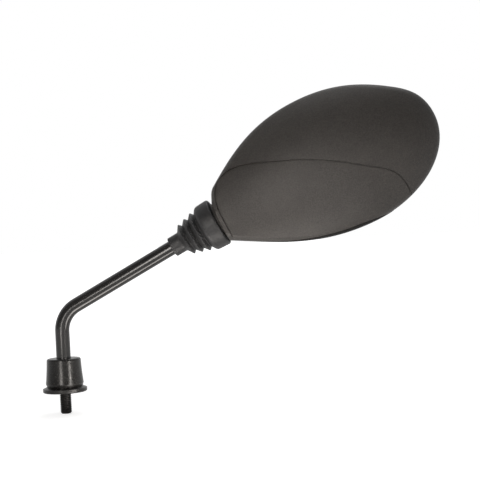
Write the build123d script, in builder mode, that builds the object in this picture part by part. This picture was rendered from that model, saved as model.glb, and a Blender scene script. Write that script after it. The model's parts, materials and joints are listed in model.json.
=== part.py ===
from build123d import *
import os
from math import cos, hypot, radians, sin, sqrt

# A left-hand scooter mirror. The origin is on the stud's axis at the seat plane, +Z runs up the stud,
# +X runs towards the head and the glass faces +Y. Sizes are in millimetres and degrees.

# Stem: one round rod with a threaded stud below, and a neck and spigot for the ball above
rod_d = 10.0
stud_d = 8.0  # over the thread
stud_core_d = 6.8  # under the thread, drawn where the nut engages it
stud_length = 15.0  # below the seat plane
stud_rise = 13.0  # above the seat plane, for the washers and the nut
bend_height = 54.2  # where the two centrelines cross
bend_angle = 62.2  # of the arm from the vertical
bend_r = 20.0  # on the centreline
arm_length = 123.0  # from that crossing to the ball centre
head_droop = 4.0  # of the head's own line below the arm's
edge_break = 0.8  # chamfer on turned ends

# Lock nut and washers on the stud
nut_across_flats = 13.0
nut_height = 6.5
nut_chamfer = 0.9
washer_d = 16.0
washer_t = 1.6
spring_washer_d = 14.0
spring_washer_t = 2.0
spring_washer_gap = 1.6
thread_clearance = 0.05
washer_clearance = 0.2

# Base boot: a soft cover over the nut, free to slide up the rod
boot_height = 23.5
boot_top_d = 23.6
boot_waist_d = 26.2
boot_waist_height = 6.1
boot_flank_hollow = 0.2
boot_groove_d = 24.6
boot_groove_height = 4.0
boot_lip_d = 30.6
boot_lip_t = 2.7
boot_lip_edge = 1.0
boot_top_edge = 1.5
boot_cavity_d = 18.6
boot_cavity_height = 15.0
sleeve_clearance = 0.08  # soft sleeves on the rod and on the neck

# Ball joint: a pressed-on ball in a slip liner, held by a sprung cup
ball_d = 16.0
ball_seat = 6.5  # from the ball centre to the flat that meets the neck
ball_flat = 5.5  # from the ball centre to the flat behind it
ball_neck_d = 8.0
ball_neck_length = 15.0  # from the ball centre to the full rod
spigot_d = 6.0
spigot_reach = 3.5  # past the ball centre
liner_t = 1.5
liner_half_width = 4.5
liner_split = 1.2
ball_clearance = 0.08  # between the ball, its liner and its seats
cup_wall = 1.0
cup_floor = 2.5
cup_gap = 1.0  # from the ball centre to the cup's edge
cup_clearance = 0.05
cup_proud = 1.0  # how far the cup stands out of its socket
spring_t = 1.2
spring_width = 12.0
spring_bow = 2.0
spring_margin = 2.6  # beyond the screw centres
clamp_screw_d = 3.0
clamp_head_d = 5.6
clamp_head_t = 2.2
clamp_screw_length = 8.0
clamp_spacing = 27.0
clamp_boss_d = 6.0

# Neck of the housing
neck_from_ball = 7.3  # from the ball centre to the head's neck face
neck_wall = 1.5
neck_lip_from_ball = 5.0
neck_groove_width = 0.8
neck_groove_depth = 0.8

# Bellows: sleeve on the rod, pleats and a collar on the neck, stations from the ball centre
sleeve_start = -31.8
sleeve_length = 8.1
sleeve_d = 14.0
bellows_wall = 1.6
pleat_count = 3
first_pleat = -20.5
pleat_pitch = 5.35
first_pleat_d = 23.2
last_pleat_d = 29.6
first_valley_d = 19.0
last_valley_d = 25.0
valley_lag = 2.1  # from a pleat's tip to the valley behind it
collar_start = -5.0
collar_end = 5.3
collar_start_d = 33.2
collar_d = 34.2
collar_edge = 1.6
collar_turn = 1.2  # of the soft collar below the arm's line
collar_sag = 1.0

# Head outline seen from behind, stations along the head from its neck face
head_length = 161.2
corner_low = 12.4
corner_run = 5.5
corner_high = 21.4
corner_lean = 0.45  # of the corner's start, along for each unit across
flank_slope = 0.66  # where the corner ends
upper_station = 81.2
upper_reach = 49.2
shoulder_from_tip = 20.8
shoulder_reach = 30.2
shoulder_slope = -0.67
tip_drop = 1.5
lower_station = 95.0
lower_reach = 48.2
neck_bottom = 16.4
neck_bottom_slope = 0.54

# Head depth: the glass side lies in front of the arm's axis, the crown behind it
rim_front = 15.0  # front rim of the housing
frame_depth = 6.0
crown_back = 25.5
crown_station = 64.0
crown_arch_r = 65.0
neck_crown_back = 14.6
neck_crown_slope = 0.22
crown_overrun = 6.0  # the crown's barrel runs past both ends of the outline
tip_fall = 44.0
crown_edge_r = 9.0
wall = 3.0

# Lower panel of the crown, set back along a moulded seam that also runs beside the neck
panel_step = 0.65
panel_shift = 0.9  # of its barrel across, so that the step runs out at the lower edge
seam_width = 0.9
seam_depth = 0.8
seam_neck = 3.1  # station of the stretch beside the neck
seam_neck_heights = [-38.0, -21.0, -5.0]
seam_points = [
    (3.6, 10.0),
    (10.2, 22.4),
    (23.2, 25.9),
    (43.0, 19.9),
    (60.5, 12.5),
    (77.0, 4.3),
    (92.7, -5.5),
    (107.9, -16.1),
    (119.7, -26.2),
    (123.0, -38.0),
]
seam_end_station = 119.5
seam_overrun = 7.0  # past the outline, below

# Glass, pad and front frame
glass_r = 1200.0
glass_front = 22.0  # highest point, in front of the arm's axis
glass_station = 79.0
glass_t = 2.5
glass_gap = 0.4
pad_t = 1.0
pad_margin = 2.0
carrier_t = 2.0
frame_lip = 4.0
frame_edge = 2.2
frame_end_share = 0.1  # of the belly's line, taken by the frame's round end
frame_end_drop = 1.0
shadow_gap = 0.8
skirt_depth = 5.0
skirt_t = 1.8
skirt_clearance = 0.25
neck_relief = 0.7
carrier_screw_d = 4.0
carrier_head_d = 7.4
carrier_head_t = 1.5
carrier_head_sink = 0.2
carrier_screw_length = 14.0
carrier_boss_d = 9.0
carrier_boss_gap = 0.1
carrier_screw_station = 55.0
carrier_screw_across = 31.0
end_screw_from_tip = 30.2
curve_tolerance = 0.01  # of the inset outlines

# Directions, planes and sizes worked out from the values above
arm = Vector(sin(radians(bend_angle)), 0, cos(radians(bend_angle)))
head_line = Vector(sin(radians(bend_angle + head_droop)), 0, cos(radians(bend_angle + head_droop)))
ball_centre = Vector(0, 0, bend_height) + arm * arm_length
arm_axis = Axis(ball_centre, arm)
# Frames in which the pieces are modelled: in the last two the ball centre is the origin, x runs along the arm
# or along the head, y across it in the upright plane and z towards the back of the head
foot = Plane.XY
arm_end = Plane(origin=ball_centre, x_dir=arm, z_dir=(0, -1, 0))
head = Plane(origin=ball_centre, x_dir=head_line, z_dir=(0, -1, 0))
crown_level = crown_back - crown_arch_r
glass_centre = Vector(neck_from_ball + glass_station, 0, glass_r - glass_front)
liner_seat_r = ball_d / 2 + ball_clearance
liner_r = liner_seat_r + liner_t
seat_r = liner_r + ball_clearance
cup_r = seat_r + cup_wall
cup_back = seat_r + cup_floor
bore_r = cup_r + cup_clearance
neck_r = bore_r + neck_wall
socket_end = cup_back - cup_proud
clamp_top = cup_back + spring_bow
pad_front_r = glass_r - glass_t
carrier_front_r = pad_front_r - pad_t
carrier_back_r = carrier_front_r - carrier_t
skirt_inset = wall + skirt_clearance
glass_inset = frame_lip + glass_gap
head_depth = rim_front + crown_back
seam_low = -lower_reach - seam_overrun
clamp_places = [(clamp_spacing / 2, 0), (-clamp_spacing / 2, 0)]
carrier_places = [
    (neck_from_ball + carrier_screw_station, carrier_screw_across),
    (neck_from_ball + carrier_screw_station, -carrier_screw_across),
    (neck_from_ball + head_length - end_screw_from_tip, 0),
]


def at_station(point):
    """A point given from the neck face, measured from the ball centre instead."""
    return (neck_from_ball + point[0], point[1])


def turned(*points):
    """Closed profile of points given as (along the axis from the ball centre, radius)."""
    with BuildSketch() as section:
        with BuildLine():
            Polyline(*points, close=True)
        make_face()
    return section.sketch


def half_disc(radius):
    """Profile of a sphere about the ball centre."""
    with BuildSketch() as section:
        with BuildLine():
            CenterArc((0, 0), radius, 0, 180)
            Line((-radius, 0), (radius, 0))
        make_face()
    return section.sketch


# Plan outline of the head: bent upper neck corner, two flanks, a blunt tip and a straight neck face
with BuildSketch() as outline:
    with BuildLine():
        corner = Spline(
            at_station((0, corner_low)),
            at_station((corner_run, corner_high)),
            tangents=[(corner_lean, 1), (1, flank_slope)],
        )
        flank = Spline(corner @ 1, at_station((upper_station, upper_reach)), tangents=[corner % 1, (1, 0)])
        shoulder = Spline(
            flank @ 1,
            at_station((head_length - shoulder_from_tip, shoulder_reach)),
            at_station((head_length, -tip_drop)),
            tangents=[(1, 0), (1, shoulder_slope), (0, -1)],
        )
        underside = EllipticalCenterArc(
            at_station((lower_station, -tip_drop)),
            head_length - lower_station,
            lower_reach - tip_drop,
            start_angle=270,
            arc_size=90,
        )
        belly = Spline(
            at_station((lower_station, -lower_reach)),
            at_station((0, -neck_bottom)),
            tangents=[(-1, 0), (-1, neck_bottom_slope)],
        )
        Line(belly @ 1, corner @ 0)
    make_face()

# Plan outline of the front frame: the same, with a round end in place of the neck face
with BuildSketch() as frame_outline:
    with BuildLine():
        add(flank)
        add(shoulder)
        add(underside)
        add(belly.trim(0, 1 - frame_end_share))
        Spline(
            belly @ (1 - frame_end_share),
            at_station((0, -frame_end_drop)),
            corner @ 1,
            tangents=[belly % (1 - frame_end_share), (0, 1), corner % 1],
        )
    make_face()

# Seam of the lower panel, in the same plane as the outline: up beside the neck, over and down to the far side
with BuildLine() as seam:
    Spline(
        at_station((seam_neck, seam_low)),
        *[at_station((seam_neck, height)) for height in seam_neck_heights],
        *[at_station(point) for point in seam_points],
        at_station((seam_end_station, seam_low)),
    )


def moved_in(plan, inset):
    """A plan moved inwards all round, as plain splines."""
    if inset == 0:
        return plan
    with BuildSketch() as smaller:
        add(plan)
        offset(amount=-inset, kind=Kind.INTERSECTION)
    return smaller.sketch.face().to_splines(tolerance=curve_tolerance)


def prism(level, plan, depth):
    """A plan, from a level towards the back."""
    with BuildPart() as solid:
        with BuildSketch(Plane.XY.offset(level)):
            add(plan)
        extrude(amount=depth)
    return solid.part


def crown(inset, across=0):
    """Half barrel over the head; its crest rises from the neck and falls to the tip."""
    base = Plane((0, across, crown_level))
    start = neck_from_ball - crown_overrun
    top = neck_from_ball + crown_station
    end = neck_from_ball + head_length + crown_overrun - inset
    neck_arch = neck_crown_back - crown_level - inset
    arch = crown_arch_r - inset
    foot_r = crown_arch_r - tip_fall
    with BuildPart() as solid:
        with BuildSketch(base):
            with BuildLine():
                rise = Spline((start, neck_arch), (top, arch), tangents=[(1, neck_crown_slope), (1, 0)])
                fall = EllipticalCenterArc(
                    (top, foot_r), end - top, arch - foot_r, start_angle=0, arc_size=90
                )
                Polyline(fall @ 0, (end, 0), (start, 0), rise @ 0)
            make_face()
        revolve(axis=Axis(base.origin, base.x_dir), revolution_arc=180)
    return solid.part


def dome(inset):
    """The head's form inside its walls, inset all round, from the rim to the crown."""
    with BuildPart() as solid:
        add(prism(-rim_front, moved_in(outline.sketch, inset), head_depth))
        add(crown(inset), mode=Mode.INTERSECT)
    return solid.part


def curved_sheet(inset, front_r, back_r):
    """Sheet of the head's outline between two spheres about the glass's centre of curvature."""
    with BuildPart() as solid:
        add(prism(-glass_front, moved_in(frame_outline.sketch, inset), glass_front))
        with Locations(glass_centre):
            Sphere(front_r, mode=Mode.INTERSECT)
            Sphere(back_r, mode=Mode.SUBTRACT)
    return solid.part


def carrier_screw(place, clearance):
    """Countersunk screw with its head just below the carrier's face, grown by a clearance."""
    reach = hypot(place[0] - glass_centre.X, place[1] - glass_centre.Y)
    face_level = glass_centre.Z - sqrt(carrier_front_r**2 - reach**2)
    head_top = Plane.XY.offset(face_level + carrier_head_sink)
    screw_r = carrier_screw_d / 2 + clearance
    head_r = carrier_head_d / 2 + clearance
    with BuildPart() as solid:
        with BuildSketch(head_top):
            with Locations(place):
                Circle(head_r)
        with BuildSketch(head_top.offset(carrier_head_t)):
            with Locations(place):
                Circle(screw_r)
        loft()
        with BuildSketch(head_top):
            with Locations(place):
                Circle(screw_r)
        extrude(amount=carrier_screw_length)
        if clearance > 0:
            with BuildSketch(head_top):
                with Locations(place):
                    Circle(head_r)
            extrude(amount=-pad_t)
    return solid.part


# Outside of the housing, its crown edge rounded except at the neck face
with BuildPart() as shell:
    add(dome(0))
    tops = shell.faces().filter_by(GeomType.REVOLUTION)
    sides = shell.faces().sort_by(Axis.X)[1:] - tops
    crown_edges = (sides.edges() & tops.edges()).sort_by(Axis.X)
    fillet(crown_edges, crown_edge_r)

# Cut that sets the lower panel back: all that lies within the seam and outside a lower crown
with BuildPart() as panel_cut:
    with BuildSketch(Plane.XY.offset(-rim_front)):
        with BuildLine():
            add(seam.line)
            Line(seam.line @ 1, seam.line @ 0)
        make_face()
    extrude(amount=head_depth)
    add(crown(panel_step, -panel_shift), mode=Mode.SUBTRACT)

# Groove along the seam, which runs out where the crown's edge turns down
with BuildPart() as seam_cut:
    with BuildSketch(Plane.XY.offset(-rim_front)):
        trace(seam.line, seam_width)
    extrude(amount=head_depth)
    add(crown(panel_step + seam_depth, -panel_shift), mode=Mode.SUBTRACT)

# Bosses inside the head, rooted in the middle of its wall
with BuildPart() as clamp_bosses:
    with BuildSketch(Plane.YZ.offset(neck_from_ball)):
        with Locations(*clamp_places):
            Circle(clamp_boss_d / 2)
    extrude(amount=clamp_top - neck_from_ball)
    add(dome(wall / 2), mode=Mode.INTERSECT)

with BuildPart() as carrier_bosses:
    with BuildSketch(Plane.XY.offset(-glass_front)):
        with Locations(*carrier_places):
            Circle(carrier_boss_d / 2)
    extrude(amount=glass_front + crown_back)
    add(crown(wall / 2), mode=Mode.INTERSECT)
    with Locations(glass_centre):
        Sphere(carrier_back_r - carrier_boss_gap, mode=Mode.INTERSECT)

# Housing: moulded shell with the ball's socket in its neck
with BuildPart() as housing:
    add(shell.part)
    add(panel_cut.part, mode=Mode.SUBTRACT)
    add(seam_cut.part, mode=Mode.SUBTRACT)
    add(dome(wall), mode=Mode.SUBTRACT)
    add(clamp_bosses.part)
    add(carrier_bosses.part)
    groove_start = neck_from_ball - neck_groove_width
    groove_r = neck_r - neck_groove_depth
    neck_profile = turned(
        (-neck_lip_from_ball, 0),
        (-neck_lip_from_ball, neck_r),
        (groove_start, neck_r),
        (groove_start, groove_r),
        (neck_from_ball, groove_r),
        (neck_from_ball, neck_r),
        (socket_end, neck_r),
        (socket_end, 0),
    )
    revolve(neck_profile, axis=Axis.X)
    revolve(half_disc(seat_r), axis=Axis.X, mode=Mode.SUBTRACT)
    bore_profile = turned((0, 0), (0, bore_r), (clamp_top, bore_r), (clamp_top, 0))
    revolve(bore_profile, axis=Axis.X, mode=Mode.SUBTRACT)
    with BuildSketch(Plane.YZ.offset(clamp_top)):
        with Locations(*clamp_places):
            Circle(clamp_screw_d / 2 + thread_clearance)
    extrude(amount=-clamp_screw_length, mode=Mode.SUBTRACT)
    for place in carrier_places:
        add(carrier_screw(place, thread_clearance), mode=Mode.SUBTRACT)

# Stem
rod_end = ball_centre - arm * ball_neck_length
with BuildPart() as stem:
    with BuildLine(Plane.XZ) as rod_path:
        FilletPolyline((0, stud_rise), (0, bend_height), (rod_end.X, rod_end.Z), radius=bend_r)
    with BuildSketch(Plane.XY.offset(stud_rise)):
        Circle(rod_d / 2)
    sweep(path=rod_path.line)
    with BuildSketch(Plane.XY.offset(-stud_length)):
        Circle(stud_d / 2)
    extrude(amount=stud_length)
    chamfer(stem.edges().sort_by(Axis.Z)[0], edge_break)
    with BuildSketch():
        Circle(stud_core_d / 2)
    extrude(amount=stud_rise)
    shoulder = (rod_d - ball_neck_d) / 2
    with BuildSketch(arm_end):
        neck_and_spigot = turned(
            (-ball_neck_length, 0),
            (-ball_neck_length, rod_d / 2),
            (shoulder - ball_neck_length, ball_neck_d / 2),
            (-ball_seat, ball_neck_d / 2),
            (-ball_seat, spigot_d / 2),
            (spigot_reach, spigot_d / 2),
            (spigot_reach, 0),
        )
        add(neck_and_spigot)
    revolve(axis=arm_axis)

# Ball, pressed on the stem's spigot against its neck
with BuildPart() as pivot_ball:
    revolve(half_disc(ball_d / 2), axis=Axis.X)
    ball_zone = turned((-ball_seat, 0), (-ball_seat, ball_d), (ball_flat, ball_d), (ball_flat, 0))
    revolve(ball_zone, axis=Axis.X, mode=Mode.INTERSECT)
    spigot_r = spigot_d / 2
    spigot_bore = turned((-ball_d, 0), (-ball_d, spigot_r), (spigot_reach, spigot_r), (spigot_reach, 0))
    revolve(spigot_bore, axis=Axis.X, mode=Mode.SUBTRACT)

# Slip liner: a split band of a hollow sphere round the ball
with BuildPart() as ball_liner:
    revolve(half_disc(liner_r), axis=Axis.X)
    revolve(half_disc(liner_seat_r), axis=Axis.X, mode=Mode.SUBTRACT)
    liner_zone = turned(
        (-liner_half_width, 0), (-liner_half_width, ball_d), (liner_half_width, ball_d), (liner_half_width, 0)
    )
    revolve(liner_zone, axis=Axis.X, mode=Mode.INTERSECT)
    with BuildSketch():
        Rectangle(2 * ball_d, liner_split)
    extrude(amount=ball_d, mode=Mode.SUBTRACT)

# Cup that presses on the liner
with BuildPart() as pressure_cup:
    cup_profile = turned((cup_gap, 0), (cup_gap, cup_r), (cup_back, cup_r), (cup_back, 0))
    revolve(cup_profile, axis=Axis.X)
    revolve(half_disc(seat_r), axis=Axis.X, mode=Mode.SUBTRACT)

# Bowed spring strip across the cup, screwed down at both ends
with BuildPart() as spring_plate:
    spring_end = clamp_spacing / 2 + spring_margin
    with BuildSketch():
        with BuildLine():
            for rise in (0, spring_t):
                Line((clamp_top + rise, -spring_end), (clamp_top + rise, -bore_r))
                ThreePointArc(
                    (clamp_top + rise, -bore_r), (cup_back + rise, 0), (clamp_top + rise, bore_r)
                )
                Line((clamp_top + rise, bore_r), (clamp_top + rise, spring_end))
            for end in (-spring_end, spring_end):
                Line((clamp_top, end), (clamp_top + spring_t, end))
        make_face()
    extrude(amount=spring_width / 2, both=True)
    with BuildSketch(Plane.YZ.offset(clamp_top)):
        with Locations(*clamp_places):
            Circle(clamp_screw_d / 2 + thread_clearance)
    extrude(amount=spring_t, mode=Mode.SUBTRACT)

with BuildPart() as clamp_screws:
    with BuildSketch(Plane.YZ.offset(clamp_top + spring_t)):
        with Locations(*clamp_places):
            Circle(clamp_head_d / 2)
    extrude(amount=clamp_head_t)
    with BuildSketch(Plane.YZ.offset(clamp_top + spring_t)):
        with Locations(*clamp_places):
            Circle(clamp_screw_d / 2)
    extrude(amount=-clamp_screw_length)

# Bellows
sleeve_end = sleeve_start + sleeve_length
rod_bore_r = rod_d / 2 + sleeve_clearance
collar_bore_r = neck_r + sleeve_clearance
bellows_outside = [(sleeve_start, sleeve_d / 2), (sleeve_end, sleeve_d / 2)]
bellows_inside = [(sleeve_start, rod_bore_r), (sleeve_end, rod_bore_r)]
for pleat in range(pleat_count):
    share = pleat / (pleat_count - 1)
    tip = first_pleat + pleat * pleat_pitch
    tip_r = (first_pleat_d + share * (last_pleat_d - first_pleat_d)) / 2
    valley_r = (first_valley_d + share * (last_valley_d - first_valley_d)) / 2
    bellows_outside += [(tip, tip_r), (tip + valley_lag, valley_r)]
    bellows_inside += [(tip, tip_r - bellows_wall), (tip + valley_lag, valley_r - bellows_wall)]
bellows_outside += [(collar_start, collar_start_d / 2), (collar_end, collar_d / 2)]
bellows_inside += [(0, last_valley_d / 2 - bellows_wall)]


def bent_plane(along, turn, sag):
    """Plane square to a line that is turned and lowered from the arm's, at a station along it."""
    line = Vector(cos(radians(turn)), -sin(radians(turn)), 0)
    return Plane(origin=line * along - Vector(0, sag, 0), x_dir=(0, 0, 1), z_dir=line)


def bellows_form(sections):
    """Solid through circles given as (along, radius), bent gradually from the sleeve to the collar."""
    with BuildPart() as solid:
        for along, radius in sections:
            share = min(max((along - sleeve_end) / (collar_start - sleeve_end), 0), 1)
            with BuildSketch(bent_plane(along, share * collar_turn, share * collar_sag)):
                Circle(radius)
        loft(ruled=True)
    return solid.part


with BuildPart() as bellows:
    add(bellows_form(bellows_outside))
    rims = bellows.edges().filter_by(GeomType.CIRCLE).sort_by(SortBy.RADIUS)[-2:]
    fillet(rims, collar_edge)
    add(bellows_form(bellows_inside), mode=Mode.SUBTRACT)
    neck_lip = neck_lip_from_ball + sleeve_clearance
    with BuildSketch(bent_plane(-neck_lip, head_droop, 0)):
        Circle(collar_bore_r)
    extrude(amount=neck_lip + neck_from_ball, mode=Mode.SUBTRACT)

# Front frame: rim round the glass, curved carrier behind it and a skirt that plugs into the housing
with BuildPart() as glass_recess:
    add(prism(-glass_front, moved_in(frame_outline.sketch, frame_lip), glass_front))
    with Locations(glass_centre):
        Sphere(carrier_front_r, mode=Mode.SUBTRACT)

with BuildPart() as carrier_hollow:
    add(prism(-glass_front, moved_in(outline.sketch, skirt_inset + skirt_t), glass_front))
    with Locations(glass_centre):
        Sphere(carrier_back_r, mode=Mode.INTERSECT)

with BuildPart() as front_frame:
    add(prism(-rim_front - frame_depth, frame_outline.sketch, frame_depth - shadow_gap))
    fillet(front_frame.faces().sort_by(Axis.Z)[0].edges(), frame_edge)
    add(prism(-rim_front - shadow_gap, moved_in(frame_outline.sketch, shadow_gap), shadow_gap))
    add(prism(-rim_front, moved_in(outline.sketch, skirt_inset), skirt_depth))
    add(glass_recess.part, mode=Mode.SUBTRACT)
    add(carrier_hollow.part, mode=Mode.SUBTRACT)
    relief_r = neck_r + neck_relief
    relief_end = cup_back + neck_relief
    relief = turned((0, 0), (0, relief_r), (relief_end, relief_r), (relief_end, 0))
    revolve(relief, axis=Axis.X, mode=Mode.SUBTRACT)
    for place in carrier_places:
        add(carrier_screw(place, thread_clearance), mode=Mode.SUBTRACT)

with BuildPart() as carrier_screws:
    for place in carrier_places:
        add(carrier_screw(place, 0))

# Foam pad and convex glass
with BuildPart() as glass_pad:
    add(curved_sheet(glass_inset + pad_margin, pad_front_r, carrier_front_r))

with BuildPart() as mirror_glass:
    add(curved_sheet(glass_inset, glass_r, pad_front_r))

# Lock nut and washers on the stud
spring_washer_base = washer_t
nut_base = spring_washer_base + spring_washer_t

with BuildPart() as flat_washer:
    with BuildSketch():
        Circle(washer_d / 2)
        Circle(stud_d / 2 + washer_clearance, mode=Mode.SUBTRACT)
    extrude(amount=washer_t)

with BuildPart() as spring_washer:
    with BuildSketch(Plane.XY.offset(spring_washer_base)):
        Circle(spring_washer_d / 2)
        Circle(stud_d / 2 + washer_clearance, mode=Mode.SUBTRACT)
        with Locations((spring_washer_d / 2, 0)):
            Rectangle(spring_washer_d, spring_washer_gap, mode=Mode.SUBTRACT)
    extrude(amount=spring_washer_t)

with BuildPart() as lock_nut:
    with BuildSketch(Plane.XY.offset(nut_base)):
        RegularPolygon(nut_across_flats / 2, 6, major_radius=False)
    extrude(amount=nut_height)
    with BuildSketch(Plane.XZ):
        with BuildLine():
            face_r = nut_across_flats / 2
            flange_r = face_r + nut_chamfer * 2
            Polyline(
                (0, nut_base),
                (face_r, nut_base),
                (flange_r, nut_base + nut_chamfer),
                (flange_r, nut_base + nut_height - nut_chamfer),
                (face_r, nut_base + nut_height),
                (0, nut_base + nut_height),
                close=True,
            )
        make_face()
    revolve(axis=Axis.Z, mode=Mode.INTERSECT)
    with BuildSketch(Plane.XY.offset(nut_base)):
        Circle(stud_core_d / 2 + thread_clearance)
    extrude(amount=nut_height, mode=Mode.SUBTRACT)

# Base boot
with BuildPart() as base_boot:
    waist = (boot_waist_d / 2, boot_waist_height)
    top_rim = (boot_top_d / 2, boot_height)
    flank_middle = (
        (boot_waist_d + boot_top_d) / 4 - boot_flank_hollow,
        (boot_waist_height + boot_height) / 2,
    )
    with BuildSketch(Plane.XZ):
        with BuildLine():
            Polyline(
                waist,
                (boot_groove_d / 2, boot_groove_height),
                (boot_lip_d / 2, boot_lip_t),
                (boot_lip_d / 2, 0),
                (boot_cavity_d / 2, 0),
                (boot_cavity_d / 2, boot_cavity_height),
                (rod_bore_r, boot_cavity_height),
                (rod_bore_r, boot_height),
                top_rim,
            )
            ThreePointArc(top_rim, flank_middle, waist)
        make_face()
    revolve(axis=Axis.Z)
    lip_rims = base_boot.edges().filter_by(GeomType.CIRCLE).sort_by(SortBy.RADIUS)[-2:]
    fillet(lip_rims, boot_lip_edge)
    top_edges = base_boot.faces().sort_by(Axis.Z)[-1].edges()
    fillet(top_edges.sort_by(SortBy.RADIUS)[-1], boot_top_edge)

# Each piece with the frame that it was modelled in, put in its place
sub_parts = {
    "stem": (stem, foot),
    "pivot_ball": (pivot_ball, arm_end),
    "ball_liner": (ball_liner, arm_end),
    "pressure_cup": (pressure_cup, head),
    "spring_plate": (spring_plate, head),
    "clamp_screws": (clamp_screws, head),
    "housing": (housing, head),
    "bellows": (bellows, arm_end),
    "front_frame": (front_frame, head),
    "carrier_screws": (carrier_screws, head),
    "glass_pad": (glass_pad, head),
    "mirror_glass": (mirror_glass, head),
    "flat_washer": (flat_washer, foot),
    "spring_washer": (spring_washer, foot),
    "lock_nut": (lock_nut, foot),
    "base_boot": (base_boot, foot),
}
os.makedirs("parts", exist_ok=True)
for name, (sub_part, frame) in sub_parts.items():
    with BuildPart(frame) as placed:
        add(sub_part.part)
    placed.part.label = name
    export_step(placed.part, f"parts/{name}.step")
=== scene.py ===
import json
import math

import bmesh
import bpy
from mathutils import Matrix, Vector
from mathutils.bvhtree import BVHTree


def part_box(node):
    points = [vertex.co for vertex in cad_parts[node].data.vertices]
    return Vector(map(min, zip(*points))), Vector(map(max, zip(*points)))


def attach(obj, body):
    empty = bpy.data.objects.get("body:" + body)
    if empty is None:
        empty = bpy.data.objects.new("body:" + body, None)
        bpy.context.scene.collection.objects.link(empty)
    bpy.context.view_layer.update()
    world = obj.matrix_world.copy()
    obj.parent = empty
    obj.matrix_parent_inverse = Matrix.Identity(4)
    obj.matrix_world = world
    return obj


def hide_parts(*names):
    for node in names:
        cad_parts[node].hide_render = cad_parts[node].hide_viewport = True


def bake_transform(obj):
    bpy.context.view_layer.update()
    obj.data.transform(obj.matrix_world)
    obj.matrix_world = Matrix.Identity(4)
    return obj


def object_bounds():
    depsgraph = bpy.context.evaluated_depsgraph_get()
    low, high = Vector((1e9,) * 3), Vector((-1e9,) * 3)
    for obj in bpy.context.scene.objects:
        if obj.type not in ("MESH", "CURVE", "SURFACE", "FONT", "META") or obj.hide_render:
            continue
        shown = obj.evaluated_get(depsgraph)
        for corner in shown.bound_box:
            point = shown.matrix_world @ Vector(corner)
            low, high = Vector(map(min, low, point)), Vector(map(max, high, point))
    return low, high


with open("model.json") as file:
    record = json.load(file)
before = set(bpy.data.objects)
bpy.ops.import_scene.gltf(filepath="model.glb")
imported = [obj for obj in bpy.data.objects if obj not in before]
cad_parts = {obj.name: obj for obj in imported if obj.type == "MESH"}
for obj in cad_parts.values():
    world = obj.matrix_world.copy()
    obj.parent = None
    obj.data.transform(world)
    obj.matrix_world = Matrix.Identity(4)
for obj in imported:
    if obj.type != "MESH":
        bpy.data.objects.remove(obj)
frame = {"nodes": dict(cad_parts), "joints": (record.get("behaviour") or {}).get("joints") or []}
cad_low, cad_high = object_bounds()
nodes = frame["nodes"]
scene = bpy.context.scene
scene.view_settings.view_transform = "Standard"

MM = 0.001
SAME_PLACE = 1e-7  # metres within which two points count as one

# Shader helpers
NOISE_SPREAD = (0.3, 0.7)  # where nearly all values of a noise texture lie
MIX_SHARE, MIX_A, MIX_B, MIX_RESULT = 0, 6, 7, 2  # the Mix node's sockets for colours


class NodeMaker:
    """Short ways to add nodes to a node tree."""

    def __init__(self, tree):
        self.tree = tree

    def node(self, kind, settings=None, **inputs):
        made = self.tree.nodes.new(kind)
        for key, value in (settings or {}).items():
            setattr(made, key, value)
        for key, value in inputs.items():
            self.put(made.inputs[key.replace("_", " ")], value)
        return made

    def put(self, socket, value):
        if isinstance(value, bpy.types.NodeSocket):
            self.tree.links.new(value, socket)
        else:
            socket.default_value = value

    def span(self, value, source, target, kind="LINEAR"):
        """The value carried over from one range to another, and held at its ends."""
        made = self.node("ShaderNodeMapRange", {"clamp": True, "interpolation_type": kind})
        for index, number in enumerate((value, *source, *target)):
            self.put(made.inputs[index], number)
        return made.outputs[0]

    def math(self, kind, a, b):
        made = self.node("ShaderNodeMath", {"operation": kind})
        self.put(made.inputs[0], a)
        self.put(made.inputs[1], b)
        return made.outputs[0]

    def seen(self, in_gloss):
        """1 where the camera sees it, also through glass, in_gloss in reflections, and 0 as a light."""
        path = self.node("ShaderNodeLightPath").outputs
        either = self.math("MAXIMUM", path["Is Camera Ray"], path["Is Transmission Ray"])
        return self.math("MAXIMUM", either, self.math("MULTIPLY", path["Is Glossy Ray"], in_gloss))


class Shader(NodeMaker):
    """A material with a Principled shader and short ways to add the textures that feed it."""

    def __init__(self, name, **values):
        self.material = bpy.data.materials.new(name)
        self.material.use_nodes = True
        super().__init__(self.material.node_tree)
        self.bsdf = self.tree.nodes["Principled BSDF"]
        self.coords = self.node("ShaderNodeTexCoord").outputs["Object"]
        self.feed(**values)

    def noise(self, scale, detail=2.0, roughness=0.5, stretch=None):
        vector = self.coords
        if stretch:
            vector = self.node("ShaderNodeMapping", Vector=vector, Scale=stretch).outputs["Vector"]
        settings = {"Scale": scale, "Detail": detail, "Roughness": roughness}
        return self.node("ShaderNodeTexNoise", Vector=vector, **settings).outputs["Fac"]

    def cells(self, scale):
        return self.node("ShaderNodeTexVoronoi", Vector=self.coords, Scale=scale).outputs["Distance"]

    def mix(self, share, a, b):
        made = self.node("ShaderNodeMix", {"data_type": "RGBA"})
        for index, value in ((MIX_SHARE, share), (MIX_A, a), (MIX_B, b)):
            self.put(made.inputs[index], value)
        return made.outputs[MIX_RESULT]

    def bump(self, height, strength, distance, normal=None):
        made = self.node("ShaderNodeBump", Strength=strength, Distance=distance, Height=height)
        if normal:
            self.put(made.inputs["Normal"], normal)
        return made.outputs["Normal"]

    def feed(self, **sockets):
        for socket, value in sockets.items():
            self.put(self.bsdf.inputs[socket.replace("_", " ")], value)
        return self.material


def grey(red, green=None, blue=None):
    """A plain grey, or a tinted one where all three parts are given."""
    return (red, red if green is None else green, red if blue is None else blue, 1.0)


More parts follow.
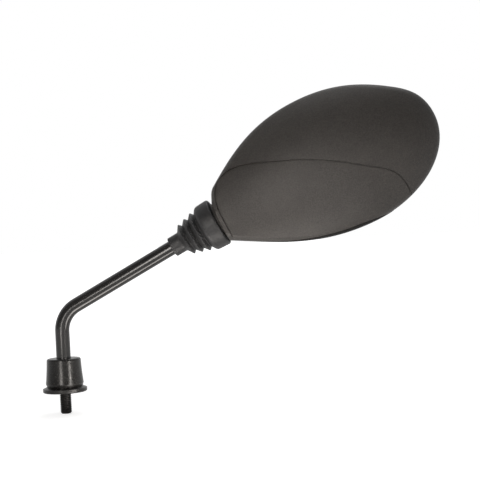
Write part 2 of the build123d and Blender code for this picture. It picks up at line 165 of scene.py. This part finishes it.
# Materials
def moulded_plastic(name, dark, light, roughness, grain, grain_depth, sheen=0.38):
    """Spark-grained moulded plastic: a fine leathery grain, a few coarser spots and a faint cloudiness."""
    shader = Shader(name, Specular_IOR_Level=sheen)
    cloud = shader.noise(scale=24.0, detail=3.0, roughness=0.6)
    fleck = shader.noise(scale=grain * 0.45, roughness=0.6)
    cloud_share = shader.span(cloud, NOISE_SPREAD, (0.0, 0.4))
    fleck_share = shader.span(fleck, (0.35, 0.65), (0.0, 0.6))
    colour = shader.mix(shader.math("ADD", cloud_share, fleck_share), dark, light)
    rough = shader.span(shader.noise(scale=grain * 0.5, detail=3.0), NOISE_SPREAD, roughness)
    fine = shader.bump(shader.noise(scale=grain, roughness=0.6), strength=0.6, distance=grain_depth)
    coarse = shader.noise(scale=grain * 0.4)
    spots = shader.bump(coarse, strength=0.35, distance=grain_depth * 1.5, normal=fine)
    wave = shader.bump(shader.noise(scale=60.0), strength=0.10, distance=0.0003, normal=spots)
    return shader.feed(Base_Color=colour, Roughness=rough, Normal=wave)


def rubber(name, dark, light, roughness, skin_strength):
    """Moulded rubber with a faint bloom and a skin that is dull or smooth."""
    shader = Shader(name, Specular_IOR_Level=0.38)
    bloom = shader.noise(scale=140.0, detail=4.0, roughness=0.6)
    colour = shader.mix(shader.span(bloom, (0.3, 0.75), (0.0, 1.0)), dark, light)
    rough = shader.span(shader.noise(scale=300.0, detail=3.0), NOISE_SPREAD, roughness)
    grain = shader.noise(scale=1500.0, detail=3.0, roughness=0.6)
    skin = shader.bump(grain, strength=skin_strength, distance=0.00012)
    return shader.feed(Base_Color=colour, Roughness=rough, Normal=skin)


def black_paint(name, sheen, roughness):
    """Black enamel with a slight orange peel."""
    shader = Shader(name, Specular_IOR_Level=sheen)
    tone = shader.span(shader.noise(scale=80.0), NOISE_SPREAD, (0.0, 1.0))
    colour = shader.mix(tone, grey(0.007, 0.0065, 0.006), grey(0.012, 0.011, 0.010))
    rough = shader.span(shader.noise(scale=220.0, detail=3.0), NOISE_SPREAD, roughness)
    peel = shader.bump(shader.noise(scale=520.0, stretch=(1.0, 1.0, 0.7)), strength=0.08, distance=0.0002)
    return shader.feed(Base_Color=colour, Roughness=rough, Normal=peel)


def plain_steel():
    """Bright steel with fine turning marks."""
    shader = Shader("plain_steel", Metallic=1.0)
    cloud = shader.noise(scale=160.0, detail=4.0, roughness=0.6)
    colour = shader.mix(
        shader.span(cloud, NOISE_SPREAD, (0.0, 1.0)), grey(0.50, 0.50, 0.49), grey(0.62, 0.62, 0.61)
    )
    streaks = shader.noise(scale=700.0, detail=3.0, roughness=0.6, stretch=(1.0, 1.0, 6.0))
    rough = shader.span(streaks, NOISE_SPREAD, (0.24, 0.40))
    turned = shader.bump(shader.noise(scale=900.0, stretch=(0.2, 0.2, 5.0)), strength=0.1, distance=0.0001)
    return shader.feed(Base_Color=colour, Roughness=rough, Normal=turned)


def foam():
    """Dark open foam, with painted shade in its pores."""
    shader = Shader("foam_pad", Specular_IOR_Level=0.2)
    holes = shader.cells(scale=900.0)
    # The pits are painted darker than the ridges: painted shade in the pores
    colour = shader.mix(shader.span(holes, (0.1, 0.6), (0.0, 1.0)), grey(0.05), grey(0.12))
    pores = shader.bump(holes, strength=0.6, distance=0.0005)
    return shader.feed(Base_Color=colour, Roughness=0.95, Normal=pores)


def silvered_glass():
    """Mirror glass with a faint uneven film."""
    shader = Shader("mirror_glass", Metallic=1.0, Coat_Weight=1.0, Coat_Roughness=0.0)
    film = shader.noise(scale=30.0, detail=3.0, roughness=0.55)
    tone = shader.span(film, NOISE_SPREAD, (0.0, 1.0))
    colour = shader.mix(tone, grey(0.58, 0.61, 0.63), grey(0.63, 0.66, 0.67))
    return shader.feed(Base_Color=colour, Roughness=shader.span(film, (0.3, 0.8), (0.012, 0.03)))


finishes = {
    "housing_plastic": moulded_plastic(
        "housing_plastic",
        dark=grey(0.022, 0.0195, 0.0175),
        light=grey(0.050, 0.045, 0.041),
        roughness=(0.44, 0.60),
        grain=2600.0,
        grain_depth=0.00014,
    ),
    "frame_plastic": moulded_plastic(
        "frame_plastic",
        dark=grey(0.007, 0.0065, 0.006),
        light=grey(0.013, 0.012, 0.011),
        roughness=(0.50, 0.65),
        grain=3200.0,
        grain_depth=0.00006,
        sheen=0.08,
    ),
    "inner_plastic": moulded_plastic(
        "inner_plastic",
        dark=grey(0.52, 0.51, 0.48),
        light=grey(0.62, 0.61, 0.58),
        roughness=(0.38, 0.5),
        grain=1800.0,
        grain_depth=0.00005,
    ),
    "bellows_rubber": rubber(
        "bellows_rubber",
        dark=grey(0.014, 0.014, 0.0145),
        light=grey(0.027, 0.0265, 0.027),
        roughness=(0.42, 0.55),
        skin_strength=0.35,
    ),
    "boot_rubber": rubber(
        "boot_rubber",
        dark=grey(0.008, 0.0075, 0.007),
        light=grey(0.013, 0.012, 0.011),
        roughness=(0.22, 0.30),
        skin_strength=0.10,
    ),
    "stem_paint": black_paint("stem_paint", sheen=0.55, roughness=(0.13, 0.20)),
    "mirror_glass": silvered_glass(),
    "foam_pad": foam(),
    "plain_steel": plain_steel(),
}
thread_black = black_paint("thread_black", sheen=0.22, roughness=(0.30, 0.40))
node_slots = {
    "housing": "housing_plastic",
    "front_frame": "frame_plastic",
    "stem": "stem_paint",
    "bellows": "bellows_rubber",
    "base_boot": "boot_rubber",
    "mirror_glass": "mirror_glass",
    "glass_pad": "foam_pad",
    "ball_liner": "inner_plastic",
    "pressure_cup": "inner_plastic",
    "pivot_ball": "plain_steel",
    "spring_plate": "plain_steel",
    "clamp_screws": "plain_steel",
    "carrier_screws": "plain_steel",
    "flat_washer": "plain_steel",
    "spring_washer": "plain_steel",
    "lock_nut": "plain_steel",
}
for name, slot in node_slots.items():
    nodes[name].data.materials.clear()
    nodes[name].data.materials.append(finishes[slot])

# Places and lines that the pieces share
joints = {joint["name"]: joint for joint in frame["joints"]}
ball = Vector(joints["head_swivel"]["pos_m"])
arm = Vector(joints["head_swivel"]["axis"])
across = Vector(joints["head_tilt"]["axis"])
to_back = Vector((0, -1, 0))
HEAD_DROOP = 4.0  # degrees by which the head hangs below the arm's line
droop = math.radians(HEAD_DROOP)
head_line = arm * math.cos(droop) - across * math.sin(droop)
down = -(across * math.cos(droop) + arm * math.sin(droop))


# Mesh helpers
def mesh_piece(name, rings, body, slot, caps=(False, False), sharp=35.0):
    """A skin through rings that all have the same count of points, with its two ends closed where asked."""
    count = len(rings[0])
    mesh = bpy.data.meshes.new(name)
    faces = []
    for ring in range(len(rings) - 1):
        for side in range(count):
            a, b = ring * count + side, ring * count + (side + 1) % count
            faces.append((a, b, b + count, a + count))
    if caps[0]:
        faces.append(tuple(reversed(range(count))))
    if caps[1]:
        faces.append(tuple(range((len(rings) - 1) * count, len(rings) * count)))
    mesh.from_pydata([tuple(point) for ring in rings for point in ring], [], faces)
    return finished_piece(name, mesh, body, slot, sharp)


def finished_piece(name, mesh, body, slot, sharp, finish=None):
    """The mesh cleaned, smoothed and given its finish, as a piece that rides on the body named, if any."""
    work = bmesh.new()
    work.from_mesh(mesh)
    bmesh.ops.remove_doubles(work, verts=work.verts, dist=SAME_PLACE)
    bmesh.ops.recalc_face_normals(work, faces=work.faces)
    work.to_mesh(mesh)
    work.free()
    mesh.polygons.foreach_set("use_smooth", [True] * len(mesh.polygons))
    mesh.set_sharp_from_angle(angle=math.radians(sharp))
    mesh.materials.append(finish or finishes[slot])
    piece = bpy.data.objects.new(name, mesh)
    scene.collection.objects.link(piece)
    if body:
        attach(piece, body)
    return piece


def circle(centre, first, second, radius, count):
    turns = [2 * math.pi * side / count for side in range(count)]
    return [centre + (first * math.cos(turn) + second * math.sin(turn)) * radius for turn in turns]


def rounded(points, steps=6):
    """A line of (along, radius, rounding) with each corner drawn as a short curve."""
    near_half = 0.48  # the most of a side that one corner's curve may take
    line = [Vector(points[0][:2])]
    for before, corner, after in zip(points, points[1:], points[2:]):
        a, b, c = Vector(before[:2]), Vector(corner[:2]), Vector(after[:2])
        reach = corner[2]
        start = b + (a - b).normalized() * min(reach, (a - b).length * near_half)
        end = b + (c - b).normalized() * min(reach, (c - b).length * near_half)
        for step in range(steps + 1):
            t = step / steps
            line.append(start * (1 - t) ** 2 + b * 2 * t * (1 - t) + end * t ** 2)
    line.append(Vector(points[-1][:2]))
    return line


def spread(line, longest):
    """The same line with extra points, so that no stretch is longer than asked."""
    filled = [line[0]]
    for a, b in zip(line, line[1:]):
        parts = max(1, math.ceil((b - a).length / longest))
        filled += [a.lerp(b, part / parts) for part in range(1, parts + 1)]
    return filled


# Bellows, in millimetres from the ball centre along the arm, and degrees
ROD_R, ROD_GAP = 5.0, 0.02
NECK_R, NECK_GAP = 12.21, 0.08
SLEEVE_START, SLEEVE_END, SLEEVE_R = -31.8, -23.7, 7.0
SLEEVE_TURN_IN = 2.5  # how far the skin turns back inside the sleeve's end
FIRST_TIP, PITCH, LAG = -20.5, 5.35, 2.1  # LAG is from a pleat's tip to the valley after it
TIP_RADII, TIP_ROUNDING = (11.6, 13.2, 14.8), 0.55
VALLEY_RADII, VALLEY_ROUNDING = (9.5, 11.0, 12.5), 0.5
COLLAR_START, COLLAR_START_R = -5.0, 16.6
COLLAR_END, COLLAR_END_R = 5.3, 17.1
COLLAR_ROUNDING, COLLAR_FOOT_ROUNDING = 1.9, 0.6
COLLAR_TURN, COLLAR_SAG = 1.2, 1.0
COLLAR_BORE = (COLLAR_END - 0.15, COLLAR_END - 2.0, -4.0)  # rings inside the collar, on the head's neck
FACE_POINTS_CUT = 4  # inmost points of the collar's end face, where the bore's first ring takes over
BELLOWS_SIDES, BELLOWS_STEP = 144, 0.7


def bent(along, radius, turn, sag):
    """A ring square to a line that is turned and lowered from the arm's, in metres."""
    angle = math.radians(turn)
    line = arm * math.cos(angle) - across * math.sin(angle)
    side = across * math.cos(angle) + arm * math.sin(angle)
    centre = ball + line * along * MM - across * sag * MM
    return circle(centre, to_back, side, radius * MM, BELLOWS_SIDES)


def bellows_ring(along, radius):
    """A ring of the skin, which turns and sags little by little from the sleeve to the collar."""
    share = min(max((along - SLEEVE_END) / (COLLAR_START - SLEEVE_END), 0), 1)
    return bent(along, radius, share * COLLAR_TURN, share * COLLAR_SAG)


tips = [(FIRST_TIP + PITCH * pleat, radius) for pleat, radius in enumerate(TIP_RADII)]
valleys = [(tip[0] + LAG, radius) for tip, radius in zip(tips, VALLEY_RADII)]
pleat_line = [
    (SLEEVE_START + SLEEVE_TURN_IN, ROD_R + ROD_GAP, 0),
    (SLEEVE_START, ROD_R + ROD_GAP, 0.25),
    (SLEEVE_START, SLEEVE_R, 0.7),
    (SLEEVE_END, SLEEVE_R, 0.9),
    (*tips[0], TIP_ROUNDING),
    (*valleys[0], VALLEY_ROUNDING),
    (*tips[1], TIP_ROUNDING),
    (*valleys[1], 0),
]
collar_line = [
    (*valleys[1], 0),
    (*tips[2], TIP_ROUNDING),
    (*valleys[2], COLLAR_FOOT_ROUNDING),
    (COLLAR_START, COLLAR_START_R, COLLAR_ROUNDING),
    (COLLAR_END, COLLAR_END_R, COLLAR_ROUNDING),
    (COLLAR_END, NECK_R + NECK_GAP, 0),
]

pleat_rings = [bellows_ring(*point) for point in spread(rounded(pleat_line), BELLOWS_STEP)]
bellows_pleats = mesh_piece("bellows_pleats", pleat_rings, None, "bellows_rubber", sharp=80.0)
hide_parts("bellows")
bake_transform(bellows_pleats)

collar_points = spread(rounded(collar_line), BELLOWS_STEP)[:-FACE_POINTS_CUT]
collar_rings = [bellows_ring(*point) for point in collar_points]
collar_rings += [bent(along, NECK_R + NECK_GAP, HEAD_DROOP, 0) for along in COLLAR_BORE]
bellows_collar = mesh_piece("bellows_collar", collar_rings, None, "bellows_rubber", sharp=60.0)
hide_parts("bellows")
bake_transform(bellows_collar)

# Stem: the bent rod with the ball's shank and spigot, in millimetres
STUD_RISE, BEND_HEIGHT, BEND_R = 13.0, 54.2, 20.0
ROD_CHAMFER, ROD_SIDES, STRAIGHT_STEPS, BEND_STEPS = 0.6, 96, 8, 64
ARM_RINGS, SHOULDER = (-60.0, -45.0, -30.0, -15.0), -14.0  # along the arm from the ball centre
SHANK_R, SHANK_END = 4.0, -6.5
SPIGOT_R, SPIGOT_END = 3.0, 3.5
bend = math.acos(arm.z)
straight_start = STUD_RISE + ROD_CHAMFER
arc_start = BEND_HEIGHT - BEND_R * math.tan(bend / 2)


def rod_ring(x, z, lean, radius):
    """A ring round the rod's middle line where that leans so far from upright."""
    side = Vector((math.cos(lean), 0, -math.sin(lean)))
    return circle(Vector((x, 0, z)) * MM, Vector((0, 1, 0)), side, radius * MM, ROD_SIDES)


rod_rings = [rod_ring(0, STUD_RISE, 0, ROD_R - ROD_CHAMFER)]
for step in range(STRAIGHT_STEPS):
    z = straight_start + (arc_start - straight_start) * step / STRAIGHT_STEPS
    rod_rings.append(rod_ring(0, z, 0, ROD_R))
for step in range(BEND_STEPS + 1):
    lean = bend * step / BEND_STEPS
    x = BEND_R - BEND_R * math.cos(lean)
    rod_rings.append(rod_ring(x, arc_start + BEND_R * math.sin(lean), lean, ROD_R))
rod_end = [(along, ROD_R) for along in ARM_RINGS]
rod_end += [(SHOULDER, SHANK_R), (SHANK_END, SHANK_R), (SHANK_END, SPIGOT_R), (SPIGOT_END, SPIGOT_R)]
for along, radius in rod_end:
    place = (ball + arm * along * MM) / MM
    rod_rings.append(rod_ring(place.x, place.z, bend, radius))
stem_rod = mesh_piece("stem_rod", rod_rings, "stem", "stem_paint", caps=(True, True))
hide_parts("stem")

# Rolled M8 thread on the stud, in millimetres
STUD_LENGTH, THREAD_TOP = 15.0, 12.4
THREAD_PITCH, THREAD_R, CORE_R, CREST_ROUNDING = 1.25, 4.0, 3.38, 0.05
END_R, END_SLOPE = 3.0, 1.1  # the chamfer's radius at the stud's ends, and its growth for each mm along
THREAD_SIDES = 72
thread_profile = [
    (0.0, CORE_R),
    (0.05, CORE_R),
    (0.36, THREAD_R - CREST_ROUNDING),
    (0.40, THREAD_R),
    (0.85, THREAD_R),
    (0.89, THREAD_R - CREST_ROUNDING),
    (1.20, CORE_R),
    (THREAD_PITCH, CORE_R),
]


def thread_mesh():
    """Helical thread from the stud's chamfered end up into the nut."""
    steps = THREAD_SIDES * (math.ceil((THREAD_TOP + STUD_LENGTH) / THREAD_PITCH) + 1)
    points = []
    faces = []
    for step in range(steps + 1):
        angle = 2 * math.pi * step / THREAD_SIDES
        foot = -STUD_LENGTH - THREAD_PITCH + THREAD_PITCH * step / THREAD_SIDES
        for offset, radius in thread_profile:
            z = min(max(foot + offset, -STUD_LENGTH), THREAD_TOP)
            chamfer = END_R + min(z + STUD_LENGTH, THREAD_TOP - z) * END_SLOPE
            radius = min(radius, chamfer)
            points.append((radius * math.cos(angle) * MM, radius * math.sin(angle) * MM, z * MM))
    wide = len(thread_profile)
    for step in range(steps):
        for part in range(wide - 1):
            a = step * wide + part
            faces.append((a, a + wide, a + wide + 1, a + 1))
    rim = len(points)
    turns = [2 * math.pi * side / THREAD_SIDES for side in range(THREAD_SIDES)]
    for z in (-STUD_LENGTH, THREAD_TOP):
        points += [(END_R * math.cos(turn) * MM, END_R * math.sin(turn) * MM, z * MM) for turn in turns]
    faces.append(tuple(reversed(range(rim, rim + THREAD_SIDES))))
    faces.append(tuple(range(rim + THREAD_SIDES, rim + 2 * THREAD_SIDES)))
    mesh = bpy.data.meshes.new("stud_thread")
    mesh.from_pydata(points, [], faces)
    work = bmesh.new()
    work.from_mesh(mesh)
    bmesh.ops.dissolve_degenerate(work, dist=SAME_PLACE, edges=work.edges)
    work.to_mesh(mesh)
    work.free()
    return mesh


stud_thread = finished_piece(
    "stud_thread", thread_mesh(), "stem", "stem_paint", sharp=25.0, finish=thread_black
)
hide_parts("stem")

# Painted shade along the head's lower edge: a crescent of the frame's black plastic laid on the housing's
# wall and rounded edge, where the line under the housing lies in shade, in millimetres
LAP_START, LAP_PEAK, LAP_END = 16.0, 89.0, 116.0  # along the head from the ball centre
LAP_TALL = 1.7  # how far it reaches onto the rounded edge at its peak
LAP_ON_WALL = 0.4  # share of its growth that it needs to climb the wall
LAP_STAND = 0.2  # how far it stands out of the housing, and how far it sinks in
LAP_COLUMNS, LAP_ROWS = 90, 6
RIM, WALL_LEVEL = 14.9, 13.0  # levels from the ball centre towards the glass
EDGE_START = 0.1  # how far above the wall's line the rounded edge is taken to start
FAR_OFF = 0.2  # metres, well outside the housing
housing_mesh = nodes["housing"].data
shell = BVHTree.FromPolygons(
    [vert.co for vert in housing_mesh.vertices], [tuple(face.vertices) for face in housing_mesh.polygons]
)


def from_below(foot, level):
    """The housing's place and normal straight below a foot point, at a level in millimetres."""
    return shell.ray_cast(foot + down * FAR_OFF - to_back * level * MM, -down)[:2]


def from_behind(foot, reach):
    """The housing's place and normal seen from the back, so many metres below a foot point."""
    return shell.ray_cast(foot + down * reach + to_back * FAR_OFF, -to_back)[:2]


def lap_column(along, share):
    """The lap's section: up the wall from the rim, then round the edge, on the outside and back inside."""
    foot = ball + head_line * along * MM
    reach = (from_below(foot, WALL_LEVEL)[0] - foot).dot(down)
    wall_end = from_behind(foot, reach - EDGE_START * MM)[0].y / MM
    top_level = RIM - (RIM - wall_end) * min(1.0, share / LAP_ON_WALL)
    tall = LAP_TALL * max(0.0, (share - LAP_ON_WALL) / (1 - LAP_ON_WALL))
    steps = [step / LAP_ROWS for step in range(LAP_ROWS + 1)]
    section = [from_below(foot, RIM + (top_level - RIM) * step) for step in steps]
    if tall:
        section += [from_behind(foot, reach - (EDGE_START + tall * step) * MM) for step in steps]
    else:
        section += [section[-1]] * len(steps)
    outside = [place + normal * LAP_STAND * MM for place, normal in section]
    inside = [place - normal * LAP_STAND * MM for place, normal in reversed(section)]
    return outside + inside


def lap_share(along):
    """How far the crescent has grown: 0 at its two ends and 1 at its peak."""
    if along < LAP_PEAK:
        return math.sin(math.pi / 2 * (along - LAP_START) / (LAP_PEAK - LAP_START))
    return math.cos(math.pi / 2 * (along - LAP_PEAK) / (LAP_END - LAP_PEAK))


lap_columns = []
for column in range(1, LAP_COLUMNS):
    along = LAP_START + (LAP_END - LAP_START) * column / LAP_COLUMNS
    lap_columns.append(lap_column(along, lap_share(along)))
# A dark sheet over the housing that stands in for shade: painted shade on the lower wall and edge
mesh_piece("painted_shade_lap", lap_columns, "head", "frame_plastic", caps=(True, True), sharp=40.0)

# Clamp screws, shown shorter than the CAD ones, whose ends reach through the neck's face
SCREW_END = 10.5  # millimetres along the head from the ball centre


def short_screws():
    """A copy of the CAD screws' mesh, cut square at SCREW_END and closed there."""
    work = bmesh.new()
    work.from_mesh(nodes["clamp_screws"].data)
    bmesh.ops.remove_doubles(work, verts=work.verts, dist=SAME_PLACE)
    cut = bmesh.ops.bisect_plane(
        work,
        geom=list(work.verts) + list(work.edges) + list(work.faces),
        dist=SAME_PLACE,
        plane_co=ball + head_line * SCREW_END * MM,
        plane_no=head_line,
        clear_inner=True,
    )
    ends = [part for part in cut["geom_cut"] if isinstance(part, bmesh.types.BMEdge)]
    bmesh.ops.edgeloop_fill(work, edges=ends)
    mesh = bpy.data.meshes.new("short_clamp_screws")
    work.to_mesh(mesh)
    work.free()
    return mesh


clamp_pair = finished_piece("short_clamp_screws", short_screws(), "head", "plain_steel", sharp=35.0)
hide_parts("clamp_screws")

# Camera at the photograph's view: level, turned a little to the left, and rolled a little
CAMERA_PLACE = (0.21821, -0.79441, 0.09952)
CAMERA_TURN, CAMERA_ROLL = math.radians(6.5), math.radians(2.86)
SENSOR, LENS = 36.0, 87.6  # millimetres
CLIP_START = 0.01
view_line = Vector((-math.sin(CAMERA_TURN), math.cos(CAMERA_TURN), 0.0))
level_right = Vector((math.cos(CAMERA_TURN), math.sin(CAMERA_TURN), 0.0))
view_right = level_right * math.cos(CAMERA_ROLL) - Vector((0.0, 0.0, 1.0)) * math.sin(CAMERA_ROLL)
view_up = view_right.cross(view_line)
camera_data = bpy.data.cameras.new("camera")
camera_data.sensor_width = SENSOR
camera_data.lens = LENS
camera_data.clip_start = CLIP_START
camera = bpy.data.objects.new("camera", camera_data)
camera_turn = Matrix((view_right, view_up, -view_line)).transposed().to_4x4()
camera.matrix_world = Matrix.Translation(CAMERA_PLACE) @ camera_turn
scene.collection.objects.link(camera)
scene.camera = camera

# Floor: white where it is seen, a little greyer near the object
FLOOR_HALF, FLOOR_GAP = 40.0, 0.0002
FLOOR_IN_GLOSS = 0.55
NEAR_AND_FAR, FLOOR_WHITENESS = (0.15, 0.9), (0.68, 1.0)
floor_corners = [(x * FLOOR_HALF, y * FLOOR_HALF, 0) for x, y in ((-1, -1), (1, -1), (1, 1), (-1, 1))]
floor_mesh = bpy.data.meshes.new("floor")
floor_mesh.from_pydata(floor_corners, [], [(0, 1, 2, 3)])
floor = bpy.data.objects.new("floor", floor_mesh)
floor.location.z = cad_low.z - FLOOR_GAP
scene.collection.objects.link(floor)

floor_shader = Shader("floor", Base_Color=grey(0.80), Roughness=0.9, Emission_Color=grey(1.0))
from_middle = floor_shader.node("ShaderNodeVectorMath", {"operation": "LENGTH"})
floor_shader.put(from_middle.inputs[0], floor_shader.coords)
whiteness = floor_shader.span(from_middle.outputs["Value"], NEAR_AND_FAR, FLOOR_WHITENESS)
floor_seen = floor_shader.seen(FLOOR_IN_GLOSS)
floor_shader.feed(Emission_Strength=floor_shader.math("MULTIPLY", floor_seen, whiteness))
floor_mesh.materials.append(floor_shader.material)

# World: white where it is seen; what gloss shows and the light it gives are dimmer on the camera's side
world = bpy.data.worlds.new("studio")
world.use_nodes = True
scene.world = world
sky = NodeMaker(world.node_tree)
toward = sky.node("ShaderNodeSeparateXYZ", Vector=sky.node("ShaderNodeTexCoord").outputs["Generated"])
light_given = sky.span(toward.outputs["Y"], (-0.5, 0.7), (0.24, 0.36), "SMOOTHSTEP")
pale_behind = sky.span(toward.outputs["Y"], (-0.4, 0.3), (0.22, 0.75), "SMOOTHSTEP")
background = world.node_tree.nodes["Background"]
background.inputs["Color"].default_value = grey(1.0)
sky.put(background.inputs["Strength"], sky.math("MAXIMUM", sky.seen(pale_behind), light_given))

# Lamps
WARM, WHITE = (1.0, 0.95, 0.90), (1.0, 1.0, 1.0)


def lamp(name, place, width, height, power, colour=WARM, beam=180.0):
    """A rectangular lamp that the camera doesn't see, facing down until it is turned."""
    data = bpy.data.lights.new(name, "AREA")
    data.shape = "RECTANGLE"
    data.size = width
    data.size_y = height
    data.energy = power
    data.color = colour
    data.spread = math.radians(beam)
    made = bpy.data.objects.new(name, data)
    made.location = place
    made.visible_camera = False
    scene.collection.objects.link(made)
    return made


def aim(made, target):
    made.rotation_mode = "QUATERNION"
    made.rotation_quaternion = (target - made.location).to_track_quat("-Z", "Y")


def seen_from(target, right, up, near, distance):
    """A place given by its direction in the photograph: to the right, up and towards the camera."""
    line = (view_right * right + view_up * up - view_line * near).normalized()
    return target + line * distance


head_middle = (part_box("housing")[0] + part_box("housing")[1]) / 2
stem_middle = Vector((0.04, 0, 0.06))
stem_foot = Vector((0.01, 0, 0.03))
key_place = seen_from(stem_middle, right=-0.243, up=0.12, near=0.926, distance=1.1)
strip_place = seen_from(stem_foot, right=0.69, up=0.12, near=0.71, distance=0.9)
top_place = head_middle + Vector((0.1, 0.6, 1.4))
aim(lamp("key", key_place, width=0.20, height=0.7, power=5.2), stem_middle)
aim(lamp("low_left", (0.03, -0.50, 0.010), width=0.30, height=0.03, power=0.020, beam=40.0), head_middle)
aim(lamp("low_right", (0.27, -0.35, 0.008), width=0.15, height=0.03, power=0.009, beam=40.0), head_middle)
aim(lamp("right_strip", strip_place, width=0.12, height=0.35, power=0.04, beam=16.0), stem_foot)
floor_strip = lamp("floor_strip", (0.15, -0.066, -0.012), width=0.28, height=0.034, power=0.24)
floor_strip.rotation_euler = (math.pi, 0, math.radians(-14))  # faces up, its right end nearer the camera
aim(lamp("top", top_place, width=0.9, height=0.9, power=4.0, colour=WHITE), head_middle)
